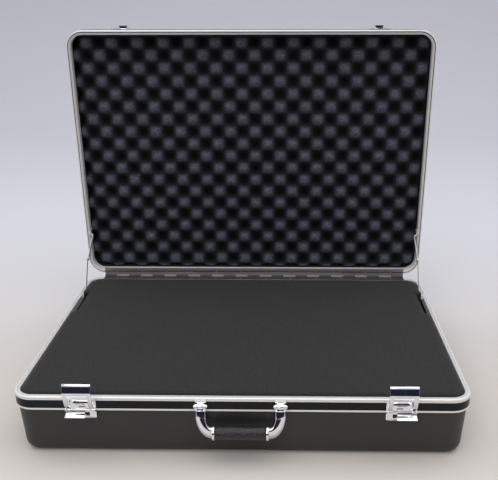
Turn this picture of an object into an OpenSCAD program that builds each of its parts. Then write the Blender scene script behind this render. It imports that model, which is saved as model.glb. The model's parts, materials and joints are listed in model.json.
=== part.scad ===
// Hard carry case with a moulded shell, an aluminium tongue-and-groove valance,
// foam in the base and convoluted foam in the lid. It stands open on its stays.
// X runs to the right, Y to the back and Z up. The origin is on the underside, in the middle.
// A profile is drawn as (distance in from the outer face, distance away from the rim plane).

/* [Case] */
// Outside width over the valances
case_w = 711; // [600:1:900]
// Outside depth over the valances, front to back
case_d = 505; // [420:1:600]
// Height of the base from its underside to its rim
base_h = 105; // [85:1:160]
// Depth of the lid from its rim to its top
lid_h = 66; // [56:1:120]
// Radius of the corners seen from above
corner_r = 33; // [30:0.5:60]
// Angle between the rims when the stays are out
open_angle = 86.8; // [75:0.2:95]

/* [Moulded shells] */
// Wall of the base and lid shells
shell_wall = 3; // [2:0.1:3.6]
// Draft of the side walls below the valance
draft = 4; // [1:0.5:6]
// Outer radius between a side wall and the flat
edge_r = 18; // [10:0.5:22]

/* [Valance] */
// Height of the valance on the outside
valance_h = 23; // [20:0.5:30]
// Height of the bead beside the rim
bead_h = 5.5; // [4:0.5:7]
// Height of the bead at the far edge
far_bead_h = 3.5; // [2.5:0.5:5]
// Depth of the band's recess
recess = 1.5; // [1:0.1:2]
// Wall of the outer leg behind the recess
leg_t = 2; // [1.2:0.1:2.5]
// Wall of the inner leg
inner_t = 1.7; // [1.2:0.1:2.5]
// Height of the inner leg
inner_h = 14; // [12:0.5:18]
// Metal between the rim and the shell's edge
deck_t = 3; // [2.6:0.1:4]
// Radius on the rim's outer edge
lip_r = 2.4; // [1:0.1:3]
// Width and depth of the fine line along the bead
line_w = 0.6; // [0.4:0.1:0.8]
// Width of the tongue under the lid
tongue_w = 1.2; // [0.8:0.1:1.6]
// Height of the tongue
tongue_h = 1.8; // [1:0.1:2]
// Gap left between the closed rims
rim_gap = 0.4; // [0.2:0.1:0.6]
// Thickness of the black band
band_t = 1.2; // [0.8:0.1:1.4]

/* [Foam] */
// How far the base foam stands above the rim
foam_proud = 1.5; // [0:0.5:4]
// Radius on the base foam's top edge
foam_edge_r = 5; // [2:0.5:8]
// Thickness of the pad under the base foam
pad_t = 12; // [8:1:20]
// Distance from one row of foam peaks to the next
egg_pitch = 25.3; // [20:0.1:32]
// Depth of the lid foam's peaks behind the rim
peak_in = 15; // [12:0.5:18]
// Height of the foam's peaks over its valleys
egg_h = 20; // [12:1:28]
// Place of one peak across the lid
egg_x = -19; // [-25:1:25]
// Place of one peak along the lid, from the hinge
egg_y = 437; // [420:1:460]

/* [Hinge] */
// Length of the continuous hinge
hinge_len = 646; // [520:1:800]
// Distance of the hinge axis behind the case
hinge_back = 7; // [6:0.5:10]
// Outer radius of the knuckles
knuckle_r = 3.4; // [2.8:0.1:3.6]
// Radius of the hinge pin
hinge_pin_r = 1.5; // [1.2:0.1:1.8]
// Thickness of a leaf
leaf_t = 1.2; // [0.8:0.1:1.6]
// Number of knuckles, an odd number
knuckles = 25; // [15:2:41]
// Number of rivets in each leaf
leaf_rivets = 12; // [6:1:16]

/* [Stays] */
// Distance of both pivots from the hinge axis
stay_arm = 104; // [90:1:120]
// Distance of both pivots from the rim planes
stay_drop = 7; // [6:0.5:8]
// Length of each link between its pivots
link_len = 79.5; // [79:0.5:86]
// Width of a link
link_w = 8; // [6:0.5:9]
// Thickness of a link
link_t = 1.5; // [1:0.1:1.7]
// Distance from the inner leg to a link's straight run
link_run = 5.6; // [4:0.2:8]
// Radius of a stay rivet's shank
stay_rivet_r = 2; // [1.5:0.1:2.5]

/* [Latches] */
// Distance of each latch from the middle
latch_x = 245; // [180:1:260]
// Width of the latch plate
plate_w = 46.5; // [44:0.5:52]
// Height of the latch plate
plate_h = 33; // [32:0.5:38]
// Thickness of the latch plate
plate_t = 1.4; // [1:0.1:2]
// Width of the hasp
hasp_w = 43.2; // [40:0.2:43.4]
// Width of each hasp rail
rail_w = 6.4; // [4:0.2:7]
// Length of the hasp from its pin to its bead
hasp_len = 55; // [50:0.5:60]
// Distance from the pin to the top of the hasp's window
window_len = 39; // [37:0.5:42]
// Thickness of the hasp
hasp_t = 1.4; // [1:0.1:2]
// Angle the hasp leans out when it is open
hasp_lean = 18; // [12:1:30]
// Width of the thumb slide
slide_w = 31.5; // [24:0.5:32]
// Travel of the thumb slide
slide_travel = 8; // [5:0.5:9]
// Height of the keeper's post
post_h = 9.4; // [9:0.2:10]
// Width of the keeper's post at its foot
post_w = 14; // [10:0.5:18]

/* [Handle] */
// Distance of the handle from the middle
handle_x = 0; // [-10:1:10]
// Half the distance between the brackets
bracket_x = 61; // [50:0.5:75]
// Width of a handle arm
arm_w = 16.5; // [12:0.5:20]
// Drop from the pins to the grip
grip_drop = 41.5; // [36:0.5:60]
// Length of the grip
grip_len = 78.5; // [60:0.5:90]
// Radius of the grip
grip_r = 10.9; // [8:0.1:12]
// Radius of the collars
collar_r = 11.7; // [9:0.1:12.6]
// Length of a collar
collar_len = 4.3; // [3:0.1:6]

/* [Hidden] */

// Facets of an arc in a swept profile, and of a round hole or pin
arc_steps = 10;
$fn = 64;

// Clearances
fit = 0.1;
pin_gap = 0.05;
side_gap = 0.3;
foam_gap = 0.6;
cut = 1;

// Across the valance, from its outer face inwards
shell_in = recess + leg_t + fit;
channel_in = shell_in + shell_wall + fit;
rim_w = channel_in + inner_t;
edge_w = deck_t + fit;
groove_in = shell_in + shell_wall / 2 - tongue_w / 2;
groove_gap = 0.25;
groove_d = tongue_h - rim_gap + 0.5;
line_top = bead_h - 1.5 - line_w;

// Hinge: its axis, how far a leaf stands out past the rim, its knuckles and flush rivets
hinge_y = case_d / 2 + hinge_back;
hinge_z = base_h + rim_gap / 2;
leaf_reach = hinge_back - knuckle_r - fit - side_gap;
knuckle_pitch = hinge_len / knuckles;
rivet_r = 1.6;
rivet_head_r = 2.6;

// Where the shell's edge radius starts, across and away from the rim
function edge_start(depth) = depth - edge_r + edge_r * sin(draft);
function edge_in(depth) = shell_in + (edge_start(depth) - valance_h) * tan(draft) + edge_r * cos(draft);

// Foam: heights of the pad and the base foam, and the space of the lid foam
pad_low = shell_wall + 0.2;
foam_low = pad_low + pad_t + side_gap;
foam_side = rim_w + foam_gap;
foam_back = lid_h - shell_wall - side_gap;
foam_half_w = case_w / 2 - foam_side;
foam_half_d = case_d / 2 - foam_side;
foam_corner = corner_r - foam_side;

// Stay rivets: collar under a link, head over it, and the middle rivet's shank and face
collar_t = 0.6;
head_t = 0.7;
joint_t = 1;
joint_r = link_w / 2 - 0.6;

// Planes of the links: at their wall pivots, and how far their straight runs stand off
stay_plane = rim_w + collar_t + fit;
lower_run = link_run - collar_t - fit;
upper_run = lower_run + link_t + side_gap;

// A link is straight to its bend, then crosses to its run over the ramp
bend = link_w + 3;
ramp = 6;

// Directions of the links from their pivots, above the way to the front
pivot_lift = atan2(stay_drop + rim_gap / 2, stay_arm);
pivot_arm = stay_arm / cos(pivot_lift);
spread = open_angle + 2 * pivot_lift;
half_open = pivot_arm * sin(spread / 2);
fold = acos(half_open / link_len);
lower_open = 90 + spread / 2 - pivot_lift - fold;
upper_open = lower_open + 2 * fold - 180;
lower_shut = asin((stay_drop + rim_gap / 2) / link_len);
echo(stay_turn_per_degree_of_lid = (lower_open - lower_shut) / open_angle);

// Upper pivot of the open lid
lid_pivot_y = hinge_y - pivot_arm * cos(open_angle + pivot_lift);
lid_pivot_z = hinge_z + pivot_arm * sin(open_angle + pivot_lift);

// Room in the base foam for the folded links beside the rim
relief_in = stay_plane + upper_run + link_t + joint_t + 1;
relief_d = stay_drop + link_w;
relief_back = hinge_y - stay_arm + 1.5 * link_w;
relief_front = hinge_y - stay_arm - link_len - link_w;

// Latch, from the case's front face and the base rim
pivot_f = 4;
pivot_drop = 19.5;
latch_pin_r = 1.2;
barrel_r = 2.3;
rail_f = 7.8;
bead_r = 2.2;
plate_top = -2;
plate_low = plate_top - plate_h;
foot_h = 1.6;
foot_out = 1.2;
plate_r = 2;
ear_r = 3;
ear_t = plate_w / 2 - hasp_w / 2 - side_gap;
box_w = hasp_w - 2 * rail_w - 4 * side_gap;
box_f = 6.2;
box_low = -pivot_drop + latch_pin_r + 0.8;
box_high = plate_top - 1;
box_chamfer = 1.2;
box_slope = 1.8;
rail_low = 14;

// Windows in the housing, and the plate's rivets
window_f = plate_t + 1;
catch_low = -9;
catch_h = 1.8;
spring_low = -15;
spring_h = 3.6;
plate_rivet_in = 3.2;
plate_rivet_step = 6.8;
plate_rivet_r = 1.2;
plate_head_r = 1.9;
plate_head_h = 0.5;

// Thumb slide: under the pin's ears, and a stud that runs in the plate's slot
slide_top = -pivot_drop - ear_r - side_gap;
slide_low = plate_low + foot_h + side_gap;
slide_f = plate_t + side_gap;
slide_t = 2.4;
slide_corner = 3;
slide_taper = 1.6;
lip_f = 13;
lip_drop = 5.6;
stud_w = 9;
stud_h = 5.8;
slot_low = plate_low + 3.5;
slot_w = stud_w + slide_travel + 2 * side_gap;
slide_stud = -12.6;

// Keeper, above the lid's rim: its post ends just under the closed hasp's window
post_high = window_len - pivot_drop - rim_gap - 1.1;
post_low = post_high - 3.4;
keeper_high = post_high + 2.6;
keeper_low = 3;
keeper_rivet_r = 1.6;
keeper_rivet_in = 4;
keeper_head_r = 2.6;
keeper_head_h = 0.8;
post_foot = 1;
post_flare = 2.2;

// Handle, from the case's front face and the pins
handle_pin_f = 6;
handle_pin_drop = 11;
handle_pin_r = 1.6;
lug_r = 4;
lug_half = 3.2;
eye_w = arm_w - 7.5;
eye_r = lug_r - 0.4;
eye_side = eye_r - 0.2;
eye_foot = lug_r + 1.4;
bracket_t = 1.8;
bracket_r = 1;
bar_w = arm_w + 0.6;
bar_top = handle_pin_drop - 2.4;
neck_w = eye_w + 2;
neck_drop = 10;
grip_f = 13;
core_r = 4;

// Arms: number of rings of points, where the sweep starts and ends, its height at the collar
arm_rings = 12;
arm_top = -lug_r - 1.2;
collar_x = grip_len / 2 + collar_len;
arm_out = bracket_x + arm_w / 2;
arm_in = bracket_x - arm_w / 2;
arm_half = 3.6;
arm_swell = 3.4;
outer_drop = 14;
inner_drop = 22;
end_h = 17.6;
core_end = collar_x + 8;

// Points of an arc from angle a to angle b round (x, y)
function arc(x, y, r, a, b, n = arc_steps) =
    [for (i = [0:n]) [x + r * cos(a + (b - a) * i / n), y + r * sin(a + (b - a) * i / n)]];

// Carries a profile once round the case, with the rim at Z = 0
module ring() {
    for (side = [0:3]) {
        run = side % 2 == 0 ? case_w : case_d;
        out = side % 2 == 0 ? case_d : case_w;
        rotate([0, 0, 90 * side]) {
            translate([corner_r - run / 2, -out / 2, 0])
                rotate([90, 0, 90])
                    linear_extrude(run - 2 * corner_r)
                        children();
            translate([run / 2 - corner_r, corner_r - out / 2, 0])
                rotate([0, 0, -90])
                    rotate_extrude(angle = 90)
                        translate([corner_r, 0])
                            mirror([1, 0])
                                children();
        }
    }
}

// The flat inside the ring, between two heights
module middle(low, high) {
    translate([corner_r - case_w / 2, corner_r - case_d / 2, low])
        cube([case_w - 2 * corner_r, case_d - 2 * corner_r, high - low]);
}

// Base pieces are drawn downwards from the rim
module down() {
    translate([0, 0, base_h]) ring() mirror([0, 1]) children();
}

// Lid pieces are drawn upwards from the closed rim
module up() {
    translate([0, 0, base_h + rim_gap]) ring() children();
}

// Turns the closed lid open about its hinge
module opened() {
    translate([0, hinge_y, hinge_z])
        rotate([-open_angle, 0, 0])
            translate([0, -hinge_y, -hinge_z])
                children();
}

// Section of the valance: a groove for the base, a tongue for the lid
module valance_section(tongue) {
    rise = tongue ? -tongue_h : groove_d;
    slack = tongue ? 0 : groove_gap;
    a = groove_in - slack;
    b = groove_in + tongue_w + slack;
    outer = shell_in - fit;
    polygon(concat(
        arc(lip_r, lip_r, lip_r, 180, 270, 6),
        [[a, 0], [a, rise], [b, rise], [b, 0]],
        arc(rim_w - 1, 1, 1, 270, 360, 4),
        [[rim_w, inner_h], [channel_in, inner_h], [channel_in, deck_t], [outer, deck_t]],
        [[outer, valance_h], [0.6, valance_h], [0, valance_h - 0.6]],
        [[0, valance_h - far_bead_h], [recess, valance_h - far_bead_h], [recess, bead_h], [0, bead_h]],
        [[0, line_top + line_w], [line_w, line_top + line_w], [line_w, line_top], [0, line_top]]));
}

module band_section() {
    translate([recess - band_t, bead_h + fit])
        square([band_t, valance_h - far_bead_h - bead_h - 2 * fit]);
}

// Section of a moulded shell of a given depth, out to the start of its flat
module shell_section(depth) {
    r_in = edge_r - shell_wall;
    c = edge_in(depth);
    polygon(concat(
        [[shell_in, edge_w], [shell_in, valance_h]],
        [for (p = arc(0, 0, edge_r, draft, 90)) [c - p[0], depth - edge_r + p[1]]],
        [[corner_r, depth], [corner_r, depth - shell_wall]],
        [for (p = arc(0, 0, r_in, 90, draft)) [c - p[0], depth - edge_r + p[1]]],
        [[shell_in + shell_wall, valance_h], [shell_in + shell_wall, edge_w]]));
}

// Space for one leaf of the hinge, on the base's rim plane
module leaf_rebate() {
    translate([-hinge_len / 2 - fit, case_d / 2 - rim_w - cut, -leaf_t])
        cube([hinge_len + 2 * fit, rim_w + 2 * cut, leaf_t + tongue_h + cut]);
}

// Axes of the rivets in a leaf
module at_leaf_rivets() {
    step = hinge_len / leaf_rivets;
    for (i = [0:leaf_rivets - 1])
        translate([step * (i + 0.5) - hinge_len / 2, case_d / 2 - rim_w / 2, 0])
            children();
}

// Both stay pivots of the base, looking in from the side walls
module at_stay_pivots(level) {
    for (side = [-1, 1])
        translate([side * case_w / 2, hinge_y - stay_arm, level])
            rotate([0, -90 * side, 0])
                children();
}

module stay_rivet_holes(level) {
    at_stay_pivots(level)
        translate([0, 0, channel_in - fit])
            cylinder(h = inner_t + 2 * fit, r = stay_rivet_r + pin_gap);
}

module base_shell() {
    color("#2c2c2d") {
        down() shell_section(base_h);
        middle(0, shell_wall);
    }
}

module base_valance() {
    color("#d8d6d4")
        difference() {
            down() valance_section(false);
            translate([0, 0, base_h]) leaf_rebate();
            at_leaf_rivets() translate([0, 0, base_h - deck_t - cut]) cylinder(h = deck_t, r = rivet_r + pin_gap);
            stay_rivet_holes(base_h - stay_drop);
        }
}

module base_band() {
    color("#16181c") down() band_section();
}

// Profile of the base foam, from the pad up to its rounded top edge
module foam_section() {
    side = rim_w + foam_gap;
    foot = shell_in + shell_wall + foam_gap + (base_h - foam_low - valance_h) * tan(draft);
    polygon(concat(
        arc(side + foam_edge_r, foam_edge_r - foam_proud, foam_edge_r, 180, 270, 5),
        [[corner_r, -foam_proud], [corner_r, base_h - foam_low], [max(foot, side), base_h - foam_low]],
        [[side, base_h / 2]]));
}

module base_foam() {
    color("#3a3939")
        difference() {
            union() {
                down() foam_section();
                middle(foam_low, base_h + foam_proud);
            }
            for (side = [0, 1])
                mirror([side, 0, 0])
                    translate([case_w / 2 - relief_in, relief_front, base_h - relief_d])
                        cube([relief_in, relief_back - relief_front, relief_d + foam_proud + cut]);
        }
}

module base_foam_pad() {
    inset = edge_in(base_h) + foam_gap;
    color("#333234") {
        translate([0, 0, pad_low])
            ring() polygon([[inset, 0], [corner_r, 0], [corner_r, pad_t], [inset, pad_t]]);
        middle(pad_low, pad_low + pad_t);
    }
}

// One leaf lying on the base rim: the plate, and a finger to each of its knuckles
module leaf(first) {
    difference() {
        union() {
            translate([-hinge_len / 2, case_d / 2 - rim_w, -leaf_t])
                cube([hinge_len, rim_w + leaf_reach, leaf_t]);
            for (i = [first:2:knuckles - 1])
                translate([knuckle_pitch * i - hinge_len / 2 + side_gap / 2, 0, 0]) {
                    translate([0, case_d / 2 - cut, -leaf_t])
                        cube([knuckle_pitch - side_gap, cut + hinge_back - hinge_pin_r, leaf_t]);
                    translate([0, hinge_y, rim_gap / 2])
                        rotate([0, 90, 0])
                            cylinder(h = knuckle_pitch - side_gap, r = knuckle_r);
                }
        }
        translate([-hinge_len / 2 - cut, hinge_y, rim_gap / 2])
            rotate([0, 90, 0])
                cylinder(h = hinge_len + 2 * cut, r = hinge_pin_r + pin_gap);
        at_leaf_rivets() {
            translate([0, 0, -leaf_t - cut]) cylinder(h = leaf_t + 2 * cut, r = rivet_r + pin_gap);
            translate([0, 0, -leaf_t / 2]) cylinder(h = leaf_t, r = rivet_head_r + pin_gap);
        }
    }
}

// A flush rivet through a leaf and the deck below it
module leaf_rivet() {
    translate([0, 0, -deck_t]) cylinder(h = deck_t, r = rivet_r);
    translate([0, 0, -leaf_t / 2]) cylinder(h = leaf_t / 2, r = rivet_head_r);
}

module base_hinge_leaf() {
    color("#8a8684") translate([0, 0, base_h]) leaf(0);
}

module hinge_pin() {
    color("#9a9896")
        translate([-hinge_len / 2, hinge_y, hinge_z])
            rotate([0, 90, 0])
                cylinder(h = hinge_len, r = hinge_pin_r);
}

module base_hinge_rivets() {
    color("#a9a6a3") at_leaf_rivets() translate([0, 0, base_h]) leaf_rivet();
}

// A stay rivet: shank in the inner leg, collar on it, head over the link
module stay_rivet() {
    over = stay_plane + link_t + fit;
    translate([0, 0, channel_in]) cylinder(h = over + 2 * head_t - channel_in, r = stay_rivet_r);
    translate([0, 0, rim_w]) cylinder(h = collar_t, r = joint_r);
    translate([0, 0, over]) {
        cylinder(h = head_t, r = joint_r);
        translate([0, 0, head_t]) cylinder(h = head_t, r1 = joint_r, r2 = stay_rivet_r);
    }
}

module base_stay_rivets() {
    color("#cfccc8") at_stay_pivots(base_h - stay_drop) stay_rivet();
}

// A link from its wall pivot at the origin along X, seen from inside the case.
// Its run stands off by run_off, and half of the middle rivet is on the chosen face.
module link(run_off, head_out) {
    difference() {
        union() {
            intersection() {
                rotate([90, 0, 0])
                    translate([0, 0, -link_w / 2 - cut])
                        linear_extrude(link_w + 2 * cut)
                            polygon([[-link_w, 0], [bend, 0], [bend + ramp, run_off], [link_len + link_w, run_off],
                                [link_len + link_w, run_off + link_t], [bend + ramp, run_off + link_t],
                                [bend, link_t], [-link_w, link_t]]);
                translate([0, 0, -cut])
                    linear_extrude(run_off + link_t + 2 * cut) {
                        translate([0, -link_w / 2]) square([link_len, link_w]);
                        circle(link_w / 2);
                        translate([link_len, 0]) circle(link_w / 2);
                    }
            }
            translate([link_len, 0, head_out ? run_off + link_t : run_off - joint_t])
                cylinder(h = joint_t, r = joint_r);
        }
        translate([0, 0, -cut]) cylinder(h = link_t + 2 * cut, r = stay_rivet_r + pin_gap);
    }
}

// Puts a link in a side wall's plane, turned up from the way to the front
module link_place(side, y, z, direction, run_off, head_out) {
    translate([side * (case_w / 2 - stay_plane), y, z])
        rotate([-direction, 0, 0])
            mirror([side < 0 ? 0 : 1, 0, 0])
                rotate([0, 90, 0])
                    rotate([0, 0, -90])
                        link(run_off, head_out);
}

module stay_lower(side) {
    color("#c9c6c2")
        link_place(side, hinge_y - stay_arm, base_h - stay_drop, lower_open, lower_run, false);
}

module stay_upper(side) {
    color("#c9c6c2")
        link_place(side, lid_pivot_y, lid_pivot_z, upper_open, upper_run, true);
}

module stay_left_lower() { stay_lower(-1); }
module stay_left_upper() { stay_upper(-1); }
module stay_right_lower() { stay_lower(1); }
module stay_right_upper() { stay_upper(1); }

// A latch's place: X away from the handle, Y out of the front face, Z up from the rim
module at_latch(side, level = base_h) {
    translate([side * latch_x, -case_d / 2, level])
        mirror([side < 0 ? 1 : 0, 0, 0])
            mirror([0, 1, 0])
                children();
}

// A flat plate with rounded corners in the XZ plane, standing out along Y
module front_plate(w, low, high, t, r) {
    rotate([90, 0, 0])
        mirror([0, 0, 1])
            linear_extrude(t) {
                translate([-w / 2 + r, low]) square([w - 2 * r, high - low]);
                translate([-w / 2, low + r]) square([w, high - low - 2 * r]);
                for (x = [-1, 1], z = [low + r, high - r])
                    translate([x * (w / 2 - r), z]) circle(r);
            }
}

// A bar along X with a section drawn as (out of the face, up)
module along_x(x0, x1) {
    translate([x0, 0, 0]) rotate([90, 0, 90]) linear_extrude(x1 - x0) children();
}

// Places of the four rivets of a latch plate
module at_plate_rivets() {
    for (x = [-1, 1], drop = [plate_rivet_in, plate_rivet_in + plate_rivet_step])
        translate([x * (plate_w / 2 - plate_rivet_in), 0, plate_top - drop]) rotate([-90, 0, 0]) children();
}

module latch_plate(side) {
    color("#dfe0e4")
        at_latch(side)
            difference() {
                union() {
                    front_plate(plate_w, plate_low, plate_top, plate_t, plate_r);
                    // Turned-out foot of the plate
                    along_x(plate_r - plate_w / 2, plate_w / 2 - plate_r)
                        polygon([[0, plate_low], [plate_t + foot_out, plate_low], [plate_t, plate_low + foot_h]]);
                    // Raised housing between the hasp's rails
                    along_x(-box_w / 2, box_w / 2)
                        polygon([[plate_t / 2, box_low], [box_f - box_chamfer, box_low],
                            [box_f, box_low + 1.5 * box_chamfer], [box_f, box_high - 2 * box_slope],
                            [box_f - box_slope, box_high], [plate_t / 2, box_high]]);
                    // Ears for the hasp's pin
                    for (x = [-plate_w / 2, plate_w / 2 - ear_t])
                        along_x(x, x + ear_t) {
                            translate([pivot_f, -pivot_drop]) circle(ear_r);
                            translate([0, -pivot_drop - ear_r]) square([pivot_f, 2 * ear_r]);
                        }
                }
                // Catch slot and spring window in the housing
                translate([-box_w / 4, window_f, catch_low]) cube([box_w / 2, box_f, catch_h]);
                translate([-box_w / 4 - 1, window_f, spring_low]) cube([box_w / 3, box_f, spring_h]);
                // Slot for the slide's stud
                translate([slide_stud - side_gap, -cut, slot_low])
                    cube([slot_w, plate_t + 2 * cut, stud_h + 2 * side_gap]);
                // Bore of the pin
                translate([-plate_w, pivot_f, -pivot_drop])
                    rotate([0, 90, 0])
                        cylinder(h = 2 * plate_w, r = latch_pin_r + pin_gap);
                at_plate_rivets() translate([0, 0, -cut]) cylinder(h = plate_t + 2 * cut, r = plate_rivet_r + fit);
            }
}

module latch_left_plate() { latch_plate(-1); }
module latch_right_plate() { latch_plate(1); }

module latch_pins() {
    color("#c4c6cc")
        for (side = [-1, 1])
            at_latch(side)
                translate([-plate_w / 2, pivot_f, -pivot_drop])
                    rotate([0, 90, 0])
                        cylinder(h = plate_w, r = latch_pin_r);
}

// Low-headed rivets of the latch plates
module latch_rivets() {
    color("#cfd0d4")
        for (side = [-1, 1])
            at_latch(side)
                at_plate_rivets() {
                    cylinder(h = plate_t, r = plate_rivet_r);
                    translate([0, 0, plate_t]) cylinder(h = plate_head_h, r = plate_head_r);
                }
}

// Outline of the slide from the front: it widens downwards to two round corners
module slide_outline() {
    half = slide_w / 2;
    polygon([[slide_corner - half, slide_low], [half - slide_corner, slide_low],
        [half, slide_low + slide_corner], [half - slide_taper, slide_top],
        [slide_taper - half, slide_top], [-half, slide_low + slide_corner]]);
    for (x = [-1, 1]) translate([x * (half - slide_corner), slide_low + slide_corner]) circle(slide_corner);
}

// Thumb slide: a flat that runs on the plate, a stud in its slot and a lip
module latch_slide(side) {
    color("#e6e3de")
        at_latch(side)
            translate([slide_travel, 0, 0]) {
                intersection() {
                    along_x(-slide_w, slide_w)
                        polygon([[slide_f, slide_low], [slide_f, slide_top], [slide_f + slide_t, slide_top],
                            [lip_f, slide_top - lip_drop], [lip_f - 0.4 * slide_t, slide_top - lip_drop - 0.6 * slide_t],
                            [slide_f + 0.8 * slide_t, slide_top - 1.5 * slide_t],
                            [slide_f + 0.75 * slide_t, slide_low]]);
                    rotate([90, 0, 0])
                        mirror([0, 0, 1])
                            linear_extrude(lip_f + cut)
                                slide_outline();
                }
                translate([slide_stud, side_gap, slot_low + side_gap])
                    cube([stud_w, slide_f, stud_h]);
            }
}

module latch_left_slide() { latch_slide(-1); }
module latch_right_slide() { latch_slide(1); }

// The hasp, closed, seen from the side: distance out of the face, height over the pin
module hasp_section() {
    foot = pivot_f - hasp_t / 2;
    low = barrel_r + 0.7;
    bend = window_len - 2 * hasp_t;
    polygon([[foot, 0], [foot + hasp_t, 0], [foot + hasp_t, low], [rail_f + hasp_t, rail_low],
        [rail_f + hasp_t, bend], [foot + hasp_t, hasp_len], [foot, hasp_len], [rail_f, bend],
        [rail_f, rail_low], [foot, low]]);
    translate([pivot_f, 0]) circle(barrel_r);
    translate([pivot_f, hasp_len]) circle(bead_r);
}

module latch_hasp(side) {
    inner = hasp_w / 2 - rail_w;
    color("#dfe0e6")
        at_latch(side)
            translate([0, pivot_f, -pivot_drop])
                rotate([-hasp_lean, 0, 0])
                    translate([0, -pivot_f, 0])
                        difference() {
                            along_x(-hasp_w / 2, hasp_w / 2) hasp_section();
                            // Window between the rails
                            along_x(-inner, inner)
                                translate([-rail_f, -2 * barrel_r]) square([3 * rail_f, window_len + 2 * barrel_r]);
                            translate([-hasp_w, pivot_f, 0])
                                rotate([0, 90, 0])
                                    cylinder(h = 2 * hasp_w, r = latch_pin_r + pin_gap);
                        }
}

module latch_left_hasp() { latch_hasp(-1); }
module latch_right_hasp() { latch_hasp(1); }

// Keeper on the lid: a plate and a post that widens towards its tip
module at_keeper_rivets() {
    for (x = [-1, 1])
        translate([x * (plate_w / 2 - keeper_rivet_in), 0, (keeper_low + keeper_high) / 2])
            rotate([-90, 0, 0])
                children();
}

module keeper(side) {
    half = post_w / 2;
    flare = post_h - post_flare;
    color("#d9d9dd")
        opened()
            at_latch(side, base_h + rim_gap)
                difference() {
                    union() {
                        front_plate(plate_w - 1, keeper_low, keeper_high, plate_t, plate_r);
                        translate([0, 0, post_low])
                            linear_extrude(post_high - post_low)
                                polygon([[-half - post_foot, plate_t - fit], [-half, plate_t + post_foot],
                                    [-half, flare], [-half - post_flare, post_h + plate_t],
                                    [half + post_flare, post_h + plate_t], [half, flare],
                                    [half, plate_t + post_foot], [half + post_foot, plate_t - fit]]);
                    }
                    at_keeper_rivets() translate([0, 0, -cut]) cylinder(h = plate_t + 2 * cut, r = keeper_rivet_r + fit);
                }
}

module keeper_left() { keeper(-1); }
module keeper_right() { keeper(1); }

module keeper_rivets() {
    color("#bfc0c6")
        opened()
            for (side = [-1, 1])
                at_latch(side, base_h + rim_gap)
                    at_keeper_rivets() {
                        cylinder(h = plate_t, r = keeper_rivet_r);
                        translate([0, 0, plate_t]) cylinder(h = keeper_head_h, r = keeper_head_r);
                    }
}

// A bracket's place: X away from the handle's middle, Y out of the face, Z up from the pins
module at_bracket(side) {
    translate([handle_x + side * bracket_x, -case_d / 2, base_h - handle_pin_drop])
        mirror([side < 0 ? 1 : 0, 0, 0])
            mirror([0, 1, 0])
                children();
}

module handle_bracket(side) {
    color("#d6d7db")
        at_bracket(side)
            difference() {
                union() {
                    // T-shaped plate: a bar over a neck
                    front_plate(bar_w, lug_r + fit, bar_top, bracket_t, bracket_r);
                    front_plate(neck_w, -neck_drop, lug_r + 2 * bracket_r, bracket_t, bracket_r);
                    // Eye that carries the pin
                    along_x(-eye_w / 2, eye_w / 2) {
                        translate([handle_pin_f, 0]) circle(eye_r);
                        polygon([[0, -eye_foot], [handle_pin_f, -eye_side], [handle_pin_f, eye_side],
                            [0, eye_foot]]);
                    }
                }
                translate([-arm_w, handle_pin_f, 0])
                    rotate([0, 90, 0])
                        cylinder(h = 2 * arm_w, r = handle_pin_r + pin_gap);
            }
}

module handle_bracket_left() { handle_bracket(-1); }
module handle_bracket_right() { handle_bracket(1); }

module handle_pins() {
    color("#b9bac0")
        for (side = [-1, 1])
            at_bracket(side)
                translate([-arm_w / 2, handle_pin_f, 0])
                    rotate([0, 90, 0])
                        cylinder(h = arm_w, r = handle_pin_r);
}

// Handle arm. Each ring of points spans from the inner edge to the outer edge.

// Outer and inner edge of the arm at a turn of a degrees, as (across, up)
function outer_edge(a) = [collar_x + (arm_out - collar_x) * cos(a),
    -outer_drop - (grip_drop + end_h / 2 - outer_drop) * sin(a)];
function inner_edge(a) = [collar_x + (arm_in - collar_x) * cos(a),
    -inner_drop - (grip_drop - end_h / 2 - inner_drop) * sin(a)];

// One ring: t runs from 0 at the pins to 1 at the collar
function arm_ring(o, i, t) =
    let (mid = handle_pin_f + (grip_f - handle_pin_f) * (t < 0.15 ? 0 : (t - 0.15) / 0.85),
        half = arm_half + arm_swell * t, crease = 0.86 - 0.34 * t)
    [for (s = [[0, 0.3], [0.12, 1], [crease, 1], [1, 0.1], [1, -0.5], [0.86, -1], [0.14, -1], [0, -0.5]])
        [i[0] + (o[0] - i[0]) * s[0], mid + half * s[1], i[1] + (o[1] - i[1]) * s[0]]];

function arm_points() = concat(
    arm_ring([arm_out, arm_top], [arm_in, arm_top], 0),
    [for (k = [0:arm_rings]) each arm_ring(outer_edge(90 * k / arm_rings), inner_edge(90 * k / arm_rings),
        0.2 + 0.8 * k / arm_rings)]);

// Sides of a row of eight-point rings with flat ends, as triangles
module loft8(points) {
    n = 8;
    last = len(points) - n;
    polyhedron(points, concat(
        [for (k = [0:n:last - n], j = [0:n - 1]) [k + j, k + n + j, k + (j + 1) % n]],
        [for (k = [0:n:last - n], j = [0:n - 1]) [k + (j + 1) % n, k + n + j, k + n + (j + 1) % n]],
        [for (j = [1:n - 2]) [0, j, j + 1]],
        [for (j = [1:n - 2]) [last, last + j + 1, last + j]]));
}

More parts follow.
